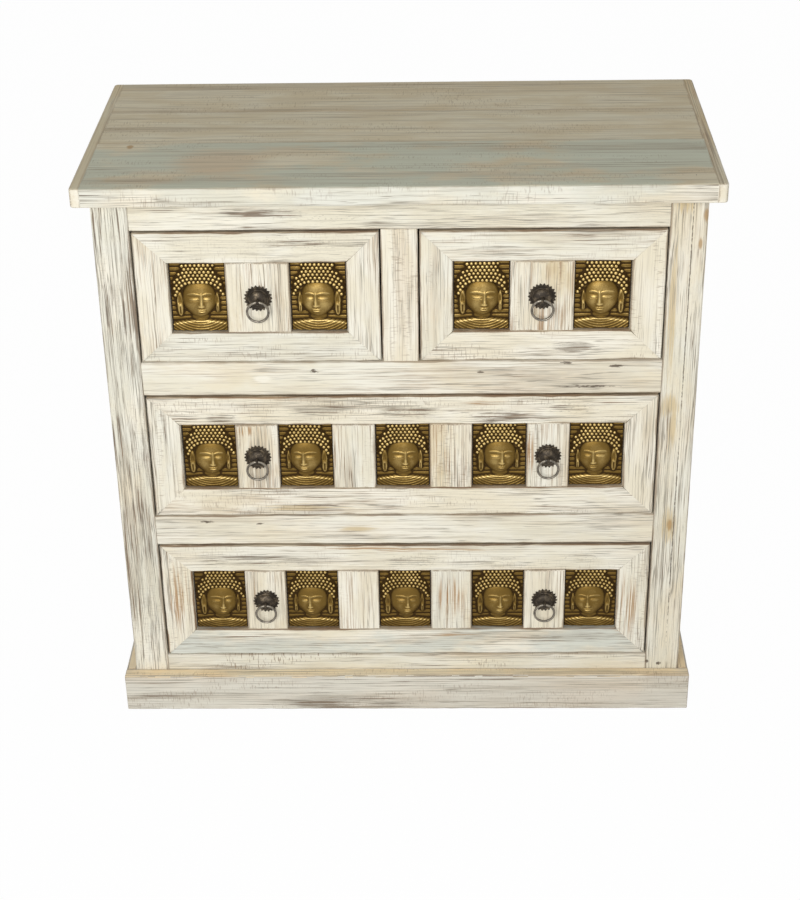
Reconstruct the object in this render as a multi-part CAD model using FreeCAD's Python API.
"""Chest of four drawers in whitewashed solid wood, with cast relief plaques set into the drawer fronts.

A post-and-rail carcass stands in a skirting plinth under a lipped top. Two small drawers and two wide
ones slide on L-shaped runners. Each drawer front is a mitred frame laid on a board, and the frame holds
wooden blocks and brass plaques in turn. Iron ring pulls hang from the blocks.

Millimetres. X to the right, Y to the back, Z up. The origin is on the floor, under the middle of the top.
"""
import FreeCAD, Part
import math
import os

Vector = FreeCAD.Vector
RIGHT, BACK, UP = Vector(1, 0, 0), Vector(0, 1, 0), Vector(0, 0, 1)
LEFT, FRONT = Vector(-1, 0, 0), Vector(0, -1, 0)

# Top: three boards between two end strips
top_width = 900.0
top_depth = 440.0
top_thickness = 28.0
top_corner_radius = 6.0
top_edge_radius = 2.5
lipping_width = 14.0
top_front_board_width = 175.0
top_rear_board_width = 135.0
side_overhang = 20.0
front_overhang = 36.0
back_overhang = 8.0

# Heights of the front, from the floor up
plinth_height = 65.0
bottom_rail_show = 28.0
opening_height = 206.5
lower_rail_height = 51.0
upper_rail_height = 54.0
top_rail_height = 49.5

# Posts and face rails
post_width = 52.0
post_depth = 40.0
post_edge_radius = 2.5
muntin_width = 52.0
rail_thickness = 25.0
bottom_rail_hidden = 24.0
tenon_length = 20.0
tenon_thickness = 9.0
tenon_shoulder = 8.0

# Rear posts, side frames and back
rear_post_width = 40.0
rear_post_depth = 40.0
side_rail_height = 70.0
side_rail_thickness = 22.0
side_rail_setback = 3.0
low_rail_lift = 30.0
side_panel_thickness = 9.0
panel_groove_depth = 8.0
panel_end_gap = 0.5
back_panel_thickness = 6.0
back_rebate_width = 12.0
back_rail_height = 60.0
back_rail_thickness = 20.0
back_tenon_length = 12.0

# Plinth boards
plinth_front_thickness = 20.0
plinth_side_thickness = 16.0
plinth_edge_chamfer = 2.0

# Runners and kickers
runner_bearing = 30.0
low_runner_height = 40.0
guide_rise = 25.0
stop_height = 18.0
stop_clearance = 0.3

# Drawer fronts and boxes
side_gap = 2.5
top_gap = 3.0
bottom_gap = 1.0
runner_clearance = 0.3
front_frame_thickness = 14.0
front_board_thickness = 12.0
drawer_rear_gap = 10.0
drawer_headroom = 26.0
drawer_side_thickness = 12.0
drawer_side_inset = 2.0
drawer_back_thickness = 12.0
drawer_back_inset = 10.0
drawer_back_drop = 15.0
drawer_bottom_thickness = 6.0
drawer_bottom_lift = 8.0
housing_depth = 5.0

# Plaques: a ribbed plate that carries a bust in relief
plaque_width = 77.6
plaque_height = 106.9
plaque_side_gap = 1.8
plaque_end_gap = 0.8
plaque_pitch = 144.0
plaque_plate = 3.0
plaque_relief = 8.5
rib_height = 1.8
rib_count = 12

# Ring pulls
rosette_radius = 20.5
rosette_root_radius = 17.6
rosette_thickness = 1.2
rosette_teeth = 22
boss_radius = 15.0
boss_collar_height = 1.6
dome_radius = 13.4
dome_height = 10.0
eye_radius = 4.7
eye_thickness = 4.0
eye_stand = 3.4
eye_hole_clearance = 0.4
ring_radius = 15.2
ring_wire_radius = 1.8
shank_radius = 2.5
shank_clearance = 0.5
shank_spare = 4.0
nut_across_flats = 8.0
nut_thickness = 4.0
shank_fit = 0.05

# How close two measured coordinates are to count as the same
match_tolerance = 0.001

# Levels and lines that the pieces share
lower_opening_z = plinth_height + bottom_rail_show
lower_rail_z = lower_opening_z + opening_height
middle_opening_z = lower_rail_z + lower_rail_height
upper_rail_z = middle_opening_z + opening_height
upper_opening_z = upper_rail_z + upper_rail_height
top_rail_z = upper_opening_z + opening_height
body_top_z = top_rail_z + top_rail_height
overall_height = body_top_z + top_thickness

body_half = top_width / 2 - side_overhang
opening_half = body_half - post_width
muntin_half = muntin_width / 2
rear_post_inner = body_half - rear_post_width
body_front = -top_depth / 2 + front_overhang
body_back = top_depth / 2 - back_overhang
rail_back = body_front + rail_thickness
post_back = body_front + post_depth
rear_post_front = body_back - rear_post_depth
back_rail_front = body_back - back_panel_thickness - back_rail_thickness
side_rail_outer = body_half - side_rail_setback
side_rail_middle = side_rail_outer - side_rail_thickness / 2
low_rail_top = low_rail_lift + side_rail_height
high_rail_bottom = body_top_z - side_rail_height

front_height = opening_height - top_gap - bottom_gap
frame_width = (front_height - plaque_height) / 2 - plaque_end_gap
board_front = body_front + front_frame_thickness
board_back = board_front + front_board_thickness
drawer_rear = back_rail_front - drawer_rear_gap
eye_reach = rosette_thickness + dome_height + eye_stand
eye_hole_radius = ring_wire_radius + eye_hole_clearance


def block(x0, x1, y0, y1, z0, z1):
    """A square-edged piece between two corners."""
    return Part.makeBox(x1 - x0, y1 - y0, z1 - z0, Vector(x0, y0, z0))


def plan_prism(points, z0, z1):
    """A plan outline, drawn as (x, y) points, raised from z0 to z1."""
    corners = [Vector(x, y, z0) for x, y in points]
    face = Part.Face(Part.makePolygon(corners + corners[:1]))
    return face.extrude(UP * (z1 - z0))


def front_prism(points, y0, y1):
    """An outline of the front, drawn as (x, z) points, deepened from y0 to y1."""
    corners = [Vector(x, y0, z) for x, z in points]
    face = Part.Face(Part.makePolygon(corners + corners[:1]))
    return face.extrude(BACK * (y1 - y0))


def rod(radius, length, start, direction):
    return Part.makeCylinder(radius, length, start, direction)


def mirror_x(shape):
    return shape.mirror(Vector(0, 0, 0), RIGHT)


def edges_along(shape, direction, test):
    """The straight edges of a shape that run along a direction and whose middle passes a test."""
    found = []
    for edge in shape.Edges:
        if isinstance(edge.Curve, Part.Line):
            along = abs(edge.tangentAt(edge.FirstParameter).dot(direction))
            if along > math.cos(math.radians(1)) and test(edge.CenterOfMass):
                found.append(edge)
    return found


def near(a, b):
    return abs(a - b) < match_tolerance


# Top
def top_slab():
    """The outline of the whole top, with rounded corners and eased edges."""
    slab = block(-top_width / 2, top_width / 2, -top_depth / 2, top_depth / 2, body_top_z, overall_height)
    slab = slab.makeFillet(top_corner_radius, edges_along(slab, UP, lambda p: True))
    rim = [e for e in slab.Edges if near(e.BoundBox.ZMin, e.BoundBox.ZMax)]
    return slab.makeFillet(top_edge_radius, rim)


def top_piece(x0, x1, y0, y1):
    """The part of the top's slab between these lines."""
    return top_slab().common(block(x0, x1, y0, y1, body_top_z, overall_height))


def top_lippings():
    """Two strips that cover the end grain of the boards."""
    half, inner = top_width / 2, top_width / 2 - lipping_width
    ends = [(-half, -inner), (inner, half)]
    return [top_piece(a, b, -top_depth / 2, top_depth / 2) for a, b in ends]


def top_boards():
    """Front, middle and rear boards, glued edge to edge and flush with the end strips."""
    half = top_width / 2 - lipping_width
    front, back = -top_depth / 2, top_depth / 2
    seams = [front, front + top_front_board_width, back - top_rear_board_width, back]
    return [top_piece(-half, half, a, b) for a, b in zip(seams, seams[1:])]


# Face rails and muntin
def rail_tenon(side, z0, height):
    """The tenon at one end of a face rail, which also cuts its mortise."""
    middle = body_front + rail_thickness / 2
    x0, x1 = sorted((side * opening_half, side * (opening_half + tenon_length)))
    return block(
        x0, x1, middle - tenon_thickness / 2, middle + tenon_thickness / 2,
        z0 + tenon_shoulder, z0 + height - tenon_shoulder,
    )


def muntin_tenon(z0):
    """A tenon of the centre muntin, standing a tenon's length up from z0."""
    middle = body_front + rail_thickness / 2
    half = muntin_half - tenon_shoulder
    return block(
        -half, half, middle - tenon_thickness / 2, middle + tenon_thickness / 2, z0, z0 + tenon_length,
    )


FACE_RAILS = {
    "top_rail": (top_rail_z, top_rail_height),
    "upper_rail": (upper_rail_z, upper_rail_height),
    "lower_rail": (lower_rail_z, lower_rail_height),
    "bottom_rail": (plinth_height - bottom_rail_hidden, bottom_rail_show + bottom_rail_hidden),
}


def face_rail(name):
    z0, height = FACE_RAILS[name]
    rail = block(-opening_half, opening_half, body_front, rail_back, z0, z0 + height)
    for side in (-1, 1):
        rail = rail.fuse(rail_tenon(side, z0, height))
    if name == "top_rail":
        rail = rail.cut(muntin_tenon(top_rail_z))
    if name == "upper_rail":
        rail = rail.cut(muntin_tenon(upper_opening_z - tenon_length))
    return rail.removeSplitter()


def centre_muntin():
    stick = block(-muntin_half, muntin_half, body_front, rail_back, upper_opening_z, top_rail_z)
    stick = stick.fuse(muntin_tenon(top_rail_z)).fuse(muntin_tenon(upper_opening_z - tenon_length))
    return stick.removeSplitter()


# Side frames
def side_rail(z0):
    """A right-hand side rail with its tenons, before the panel groove is cut."""
    rail = block(
        side_rail_outer - side_rail_thickness, side_rail_outer, post_back, rear_post_front,
        z0, z0 + side_rail_height,
    )
    tenon = block(
        side_rail_middle - tenon_thickness / 2, side_rail_middle + tenon_thickness / 2,
        post_back - tenon_length, rear_post_front + tenon_length,
        z0 + tenon_shoulder + panel_groove_depth, z0 + side_rail_height - tenon_shoulder - panel_groove_depth,
    )
    return rail.fuse(tenon).removeSplitter()


def side_panel(end_gap):
    """The right-hand panel, short of its grooves' floors by end_gap all round."""
    reach = panel_groove_depth - end_gap
    return block(
        side_rail_middle - side_panel_thickness / 2, side_rail_middle + side_panel_thickness / 2,
        post_back - reach, rear_post_front + reach, low_rail_top - reach, high_rail_bottom + reach,
    )


def side_rails():
    groove = side_panel(0)
    rails = [side_rail(z0).cut(groove) for z0 in (low_rail_lift, high_rail_bottom)]
    return rails + [mirror_x(r) for r in rails]


# Posts
def front_post():
    """The right-hand front post, with mortises for the rails and a groove for the side panel."""
    post = block(opening_half, body_half, body_front, post_back, 0, body_top_z)
    corner = edges_along(post, UP, lambda p: near(p.x, body_half) and near(p.y, body_front))
    post = post.makeFillet(post_edge_radius, corner)
    for z0, height in FACE_RAILS.values():
        post = post.cut(rail_tenon(1, z0, height))
    for z0 in (low_rail_lift, high_rail_bottom):
        post = post.cut(side_rail(z0))
    return post.cut(side_panel(0))


def back_rail(z0, height):
    """A rail between the rear posts, with a tenon at each end."""
    half = rear_post_inner
    middle = back_rail_front + back_rail_thickness / 2
    rail = block(-half, half, back_rail_front, back_rail_front + back_rail_thickness, z0, z0 + height)
    tenon = block(
        -half - back_tenon_length, half + back_tenon_length,
        middle - tenon_thickness / 2, middle + tenon_thickness / 2,
        z0 + tenon_shoulder, z0 + height - tenon_shoulder,
    )
    return rail.fuse(tenon).removeSplitter()


BACK_RAILS = [
    (low_rail_lift, back_rail_height),
    (upper_rail_z, upper_rail_height),
    (body_top_z - back_rail_height, back_rail_height),
]


def back_rails():
    return [back_rail(z0, height) for z0, height in BACK_RAILS]


def back_panel():
    half = rear_post_inner + back_rebate_width
    return block(-half, half, body_back - back_panel_thickness, body_back, low_rail_lift, body_top_z)


def rear_post():
    """The right-hand rear post, rebated for the back panel."""
    post = block(rear_post_inner, body_half, rear_post_front, body_back, 0, body_top_z)
    post = post.cut(back_panel())
    for z0, height in BACK_RAILS:
        post = post.cut(back_rail(z0, height))
    for z0 in (low_rail_lift, high_rail_bottom):
        post = post.cut(side_rail(z0))
    return post.cut(side_panel(0))


# Plinth
def eased_top(board, outside):
    """Chamfers the upper outer edge of a plinth board."""
    level = [e for e in board.Edges if near(e.BoundBox.ZMin, plinth_height)]
    return board.makeChamfer(plinth_edge_chamfer, [e for e in level if outside(e.CenterOfMass)])


def plinth_front():
    """The front board, which runs past both side boards."""
    outer_x, outer_y = body_half + plinth_side_thickness, body_front - plinth_front_thickness
    board = block(-outer_x, outer_x, outer_y, body_front, 0, plinth_height)
    return eased_top(board, lambda p: near(p.y, outer_y))


def plinth_side():
    """The right-hand board, butted against the front one."""
    outer_x = body_half + plinth_side_thickness
    board = block(body_half, outer_x, body_front, body_back, 0, plinth_height)
    return eased_top(board, lambda p: near(p.x, outer_x))


# Runners
def side_runner(z0, z1, guide_top):
    """A right-hand runner: a ledge under the drawer side and a guide beside it, between the posts."""
    ledge = block(opening_half - runner_bearing, opening_half, rail_back, back_rail_front, z0, z1)
    guide = block(opening_half, rear_post_inner, post_back, back_rail_front, z0, guide_top)
    return ledge.fuse(guide).removeSplitter()


def centre_runner(z0, z1, guide_top):
    """The runner between the two small drawers, with a ledge on each side of its guide."""
    half = muntin_half + runner_bearing
    ledge = block(-half, half, rail_back, back_rail_front, z0, z1)
    guide = block(-muntin_half, muntin_half, rail_back, back_rail_front, z0, guide_top)
    return ledge.fuse(guide).removeSplitter()


def drawer_runners():
    rows = [
        (lower_opening_z - low_runner_height, lower_opening_z),
        (lower_rail_z, middle_opening_z),
        (upper_rail_z, upper_opening_z),
    ]
    right = [side_runner(z0, z1, z1 + guide_rise) for z0, z1 in rows]
    z0, z1 = rows[-1]
    return right + [mirror_x(r) for r in right] + [centre_runner(z0, z1, z1 + guide_rise)]


def drawer_stops():
    """Blocks at the back of the runners that stop each drawer with its front flush."""
    low, high = drawer_rear + stop_clearance, back_rail_front
    inner, outer = opening_half - runner_bearing, opening_half
    stops = []
    for z in (lower_opening_z, middle_opening_z, upper_opening_z):
        right = block(inner, outer, low, high, z, z + stop_height)
        stops += [right, mirror_x(right)]
    half = muntin_half + runner_bearing
    centre = block(muntin_half, half, low, high, upper_opening_z, upper_opening_z + stop_height)
    return stops + [centre, mirror_x(centre)]


def top_kickers():
    """Strips under the top that keep the small drawers level when they are pulled out."""
    right = side_runner(top_rail_z, body_top_z, body_top_z)
    return [right, mirror_x(right), centre_runner(top_rail_z, body_top_z, body_top_z)]


# Plaques
def ellipsoid(centre, half_sizes):
    ball = Part.makeSphere(1)
    matrix = FreeCAD.Matrix()
    matrix.scale(*half_sizes)
    matrix.move(centre)
    return ball.transformGeometry(matrix)


def ribbed_plate():
    """The plate of a plaque, its face ridged by shallow horizontal ribs. Its back lies on y = 0."""
    half = plaque_width / 2
    pitch = plaque_height / rib_count
    low, high = -plaque_height / 2, plaque_height / 2
    face = -plaque_plate

    def at(y, z):
        return Vector(-half, y, z)

    edges = [
        Part.makeLine(at(face, low), at(0, low)),
        Part.makeLine(at(0, low), at(0, high)),
        Part.makeLine(at(0, high), at(face, high)),
    ]
    for i in range(rib_count):
        z = high - i * pitch
        crest = at(face - rib_height, z - pitch / 2)
        edges.append(Part.Arc(at(face, z), crest, at(face, z - pitch)).toShape())
    profile = Part.Face(Part.Wire(Part.__sortEdges__(edges)))
    return profile.extrude(RIGHT * plaque_width)


# Places and sizes of the bust's masses, as shares of the plaque's width, relief and height:
# centre across, centre up, half width, half depth, half height
BUST_SHARES = {
    "hair": (0.00, 0.14, 0.335, 0.84, 0.275),
    "topknot": (0.00, 0.40, 0.170, 0.62, 0.110),
    "face": (0.03, -0.05, 0.250, 0.86, 0.270),
    "nose": (0.06, -0.08, 0.050, 1.00, 0.090),
    "left_ear": (-0.30, -0.07, 0.050, 0.56, 0.170),
    "right_ear": (0.32, -0.07, 0.045, 0.46, 0.160),
    "neck": (0.01, -0.32, 0.150, 0.52, 0.120),
    "shoulders": (0.00, -0.54, 0.640, 0.62, 0.195),
}

# Folds of the robe round the neck: each ring's radius as a share of the plaque's width. Their middle and
# their upper ends are shares of its height, and their depth and thickness shares of the relief.
FOLD_SHARES = (0.21, 0.29, 0.37)
fold_middle_share = -0.20
fold_top_share = -0.33
fold_depth_share = 0.50
fold_thickness_share = 0.16


def robe_folds():
    """The lower arcs of rings round the neck."""
    middle = Vector(0, -plaque_plate - fold_depth_share * plaque_relief, fold_middle_share * plaque_height)
    thickness = fold_thickness_share * plaque_relief
    half, depth = plaque_width / 2, plaque_plate + plaque_relief
    below = block(-half, half, -depth, 0, -plaque_height / 2, fold_top_share * plaque_height)
    rings = [Part.makeTorus(share * plaque_width, thickness, middle, BACK) for share in FOLD_SHARES]
    return [ring.common(below) for ring in rings]


def plaque():
    """A plaque with its bust turned a little to the right. The middle of its back is the origin."""
    relief = ribbed_plate()
    for across, up, half_width, half_depth, half_height in BUST_SHARES.values():
        centre = Vector(across * plaque_width, -plaque_plate, up * plaque_height)
        sizes = (half_width * plaque_width, half_depth * plaque_relief, half_height * plaque_height)
        relief = relief.fuse(ellipsoid(centre, sizes))
    for fold in robe_folds():
        relief = relief.fuse(fold)
    depth = plaque_plate + plaque_relief + rib_height
    limits = block(
        -plaque_width / 2, plaque_width / 2, -depth, 0, -plaque_height / 2, plaque_height / 2,
    )
    return relief.common(limits)


# Ring pulls, drawn about the point where the shank enters the front, facing -Y
def rosette():
    """A flat rosette with pointed teeth round its rim."""
    points = []
    for i in range(2 * rosette_teeth):
        angle = math.pi * i / rosette_teeth
        radius = rosette_radius if i % 2 == 0 else rosette_root_radius
        points.append((radius * math.cos(angle), radius * math.sin(angle)))
    disc = front_prism(points, -rosette_thickness, 0)
    return disc.cut(rod(shank_radius + shank_fit, rosette_thickness, Vector(0, 0, 0), FRONT))


def boss():
    """A domed boss with a collar at its foot, an eye for the ring and a shank through the front."""
    foot, collar = -rosette_thickness, -rosette_thickness - boss_collar_height
    apex = -rosette_thickness - dome_height
    rise = dome_height - boss_collar_height
    sphere_radius = (dome_radius ** 2 + rise ** 2) / (2 * rise)
    half_angle = math.asin(dome_radius / sphere_radius) / 2
    knee = Vector(
        sphere_radius * math.sin(half_angle), apex + sphere_radius * (1 - math.cos(half_angle)), 0,
    )
    edges = [
        Part.makeLine(Vector(0, foot, 0), Vector(boss_radius, foot, 0)),
        Part.makeLine(Vector(boss_radius, foot, 0), Vector(boss_radius, collar, 0)),
        Part.makeLine(Vector(boss_radius, collar, 0), Vector(dome_radius, collar, 0)),
        Part.Arc(Vector(dome_radius, collar, 0), knee, Vector(0, apex, 0)).toShape(),
        Part.makeLine(Vector(0, apex, 0), Vector(0, foot, 0)),
    ]
    dome = Part.Face(Part.Wire(edges)).revolve(Vector(0, 0, 0), BACK, 360)
    half = eye_thickness / 2
    eye = rod(eye_radius, eye_thickness, Vector(-half, -eye_reach, 0), RIGHT)
    neck = block(-half, half, -eye_reach, apex + eye_radius / 2, -eye_radius / 2, eye_radius / 2)
    through = rosette_thickness + front_frame_thickness + front_board_thickness
    shank = rod(shank_radius, through + nut_thickness + shank_spare, Vector(0, foot, 0), BACK)
    solid = dome.fuse(neck).fuse(eye).fuse(shank)
    hole = rod(eye_hole_radius, eye_thickness, Vector(-half, -eye_reach, 0), RIGHT)
    return solid.cut(hole).removeSplitter()


def nut():
    """A hexagon nut on the shank, inside the drawer."""
    circumradius = nut_across_flats / (2 * math.cos(math.pi / 6))
    corners = [math.pi * i / 3 for i in range(6)]
    points = [(circumradius * math.cos(a), circumradius * math.sin(a)) for a in corners]
    seat = front_frame_thickness + front_board_thickness
    body = front_prism(points, seat, seat + nut_thickness)
    return body.cut(rod(shank_radius + shank_fit, nut_thickness, Vector(0, seat, 0), BACK))


def ring():
    """The ring, hanging from the eye."""
    centre = Vector(0, -eye_reach, -ring_radius)
    return Part.makeTorus(ring_radius, ring_wire_radius, centre, FRONT)


# Drawers: the middle and half width of the opening, its floor, the way each plaque's bust turns
# (1 to the right), and the labels of the pulls. Two pulls hang on the first block and the last.
# A single pull hangs on the middle block, so such a drawer has an odd number of blocks.
small_half = (opening_half - muntin_half) / 2
small_middle = muntin_half + small_half
SMALL_TURNS = (1, -1)
WIDE_TURNS = (1, -1, 1, 1, -1)
DRAWERS = {
    "upper_left": (-small_middle, small_half, upper_opening_z, SMALL_TURNS, ("",)),
    "upper_right": (small_middle, small_half, upper_opening_z, SMALL_TURNS, ("",)),
    "middle": (0, opening_half, middle_opening_z, WIDE_TURNS, ("_left", "_right")),
    "lower": (0, opening_half, lower_opening_z, WIDE_TURNS, ("_left", "_right")),
}


class Drawer:
    """The lines that one drawer's pieces share."""

    def __init__(self, middle, half_opening, floor, turns, pulls):
        self.pulls = pulls
        self.middle = middle
        self.half = half_opening - side_gap
        self.low = floor + bottom_gap
        self.high = self.low + front_height
        self.side_low = floor + runner_clearance
        self.side_high = floor + opening_height - drawer_headroom
        self.side_outer = self.half - drawer_side_inset
        self.side_inner = self.side_outer - drawer_side_thickness
        self.rear = drawer_rear
        self.bottom_low = self.side_low + drawer_bottom_lift
        self.bottom_high = self.bottom_low + drawer_bottom_thickness
        self.back_rear = self.rear - drawer_back_inset
        self.back_front = self.back_rear - drawer_back_thickness
        self.inner_half = self.half - frame_width
        self.pocket = plaque_width + 2 * plaque_side_gap
        span = 2 * self.inner_half - self.pocket
        copies = span / plaque_pitch
        single = len(pulls) == 1
        blocks = 2 * round((copies - 1) / 2) + 1 if single else round(copies)
        blocks = max(1, blocks)
        self.pitch = span / blocks
        self.block_width = self.pitch - self.pocket
        self.turns = [turns[i % len(turns)] for i in range(blocks + 1)]
        self.centre_z = (self.low + self.high) / 2
        first = middle - self.inner_half + self.pocket / 2
        self.plaque_xs = [first + i * self.pitch for i in range(blocks + 1)]
        self.block_xs = [x + self.pitch / 2 for x in self.plaque_xs[:-1]]
        ends = [self.block_xs[0], self.block_xs[-1]]
        self.pull_xs = [self.block_xs[blocks // 2]] if single else ends

    def shank_holes(self, y0, y1):
        radius = shank_radius + shank_clearance
        return [rod(radius, y1 - y0, Vector(x, y0, self.centre_z), BACK) for x in self.pull_xs]

    def front_frame(self):
        """Four mitred members round the plaques."""
        x0, x1 = self.middle - self.half, self.middle + self.half
        u0, u1 = self.middle - self.inner_half, self.middle + self.inner_half
        z0, z1 = self.low, self.high
        w0, w1 = z0 + frame_width, z1 - frame_width
        outlines = [
            [(x0, z1), (x1, z1), (u1, w1), (u0, w1)],
            [(x0, z0), (x1, z0), (u1, w0), (u0, w0)],
            [(x0, z0), (x0, z1), (u0, w1), (u0, w0)],
            [(x1, z0), (x1, z1), (u1, w1), (u1, w0)],
        ]
        return [front_prism(p, body_front, board_front) for p in outlines]

    def front_blocks(self):
        """Wooden blocks between the plaques, flush with the frame."""
        z0, z1 = self.low + frame_width, self.high - frame_width
        half = self.block_width / 2
        blocks = [block(x - half, x + half, body_front, board_front, z0, z1) for x in self.block_xs]
        holes = Part.makeCompound(self.shank_holes(body_front, board_front))
        return [b.cut(holes) for b in blocks]

    def side(self, sign):
        x0, x1 = sorted((self.middle + sign * self.side_inner, self.middle + sign * self.side_outer))
        return block(x0, x1, board_back - housing_depth, self.rear, self.side_low, self.side_high)

    def back(self):
        reach = self.side_inner + housing_depth
        return block(
            self.middle - reach, self.middle + reach, self.back_front, self.back_rear,
            self.bottom_high, self.side_high - drawer_back_drop,
        )

    def bottom(self):
        reach = self.side_inner + housing_depth
        return block(
            self.middle - reach, self.middle + reach, board_back - housing_depth, self.back_rear,
            self.bottom_low, self.bottom_high,
        )

    def sides(self):
        """Two sides, grooved for the bottom and housed for the back."""
        inside = self.back().fuse(self.bottom())
        return [self.side(sign).cut(inside) for sign in (-1, 1)]

    def front_board(self):
        """The board behind the frame, housed for the sides and grooved for the bottom."""
        board = block(
            self.middle - self.half, self.middle + self.half, board_front, board_back, self.low, self.high,
        )
        cutters = [self.side(-1), self.side(1), self.bottom()]
        for cutter in cutters + self.shank_holes(board_front, board_back):
            board = board.cut(cutter)
        return board

    def plaques(self, patterns):
        """The plaques on the board, each with the bust turned to its own side."""
        places = [Vector(x, board_front, self.centre_z) for x in self.plaque_xs]
        return [moved(patterns[turn], place) for turn, place in zip(self.turns, places)]

    def pull_places(self):
        return [Vector(x, body_front, self.centre_z) for x in self.pull_xs]


def moved(shape, place):
    copy = shape.copy()
    copy.translate(place)
    return copy


def save(name, shapes):
    """Writes one node: a single solid, or a group of separate ones."""
    shapes = shapes if isinstance(shapes, list) else [shapes]
    solids = [solid for shape in shapes for solid in shape.Solids]
    whole = solids[0] if len(solids) == 1 else Part.makeCompound(solids)
    whole.exportStep(os.path.join("parts", name + ".step"))
    volume = sum(solid.Volume for solid in solids)
    print(f"{name}: {len(solids)} solid(s), {volume / 1000:.1f} cm3, valid {whole.isValid()}")


def save_pair(name, right):
    save(name + "_right", right)
    save(name + "_left", mirror_x(right))


def save_carcass():
    save("top_boards", top_boards())
    save("top_lippings", top_lippings())
    save_pair("front_post", front_post())
    save_pair("rear_post", rear_post())
    save_pair("side_panel", side_panel(panel_end_gap))
    save("side_rails", side_rails())
    for name in FACE_RAILS:
        save(name, face_rail(name))
    save("centre_muntin", centre_muntin())
    save("back_rails", back_rails())
    save("back_panel", back_panel())
    save("plinth_front", plinth_front())
    save_pair("plinth_side", plinth_side())
    save("drawer_runners", drawer_runners())
    save("drawer_stops", drawer_stops())
    save("top_kickers", top_kickers())


def save_drawers():
    right_turned = plaque()
    patterns = {1: right_turned, -1: mirror_x(right_turned)}
    fittings = [rosette(), boss(), nut()]
    for name, values in DRAWERS.items():
        drawer = Drawer(*values)
        save(name + "_front_frame", drawer.front_frame())
        save(name + "_front_blocks", drawer.front_blocks())
        save(name + "_front_board", drawer.front_board())
        save(name + "_sides", drawer.sides())
        save(name + "_back", drawer.back())
        save(name + "_bottom", drawer.bottom())
        save(name + "_plaques", drawer.plaques(patterns))
        places = drawer.pull_places()
        save(name + "_pull_mounts", [moved(f, place) for place in places for f in fittings])
        for place, label in zip(places, drawer.pulls):
            save(name + label + "_ring", moved(ring(), place))
            print(f"  its hinge: {place.x:.3f}, {place.y - eye_reach:.3f}, {place.z:.3f}")


os.makedirs("parts", exist_ok=True)
save_carcass()
save_drawers()
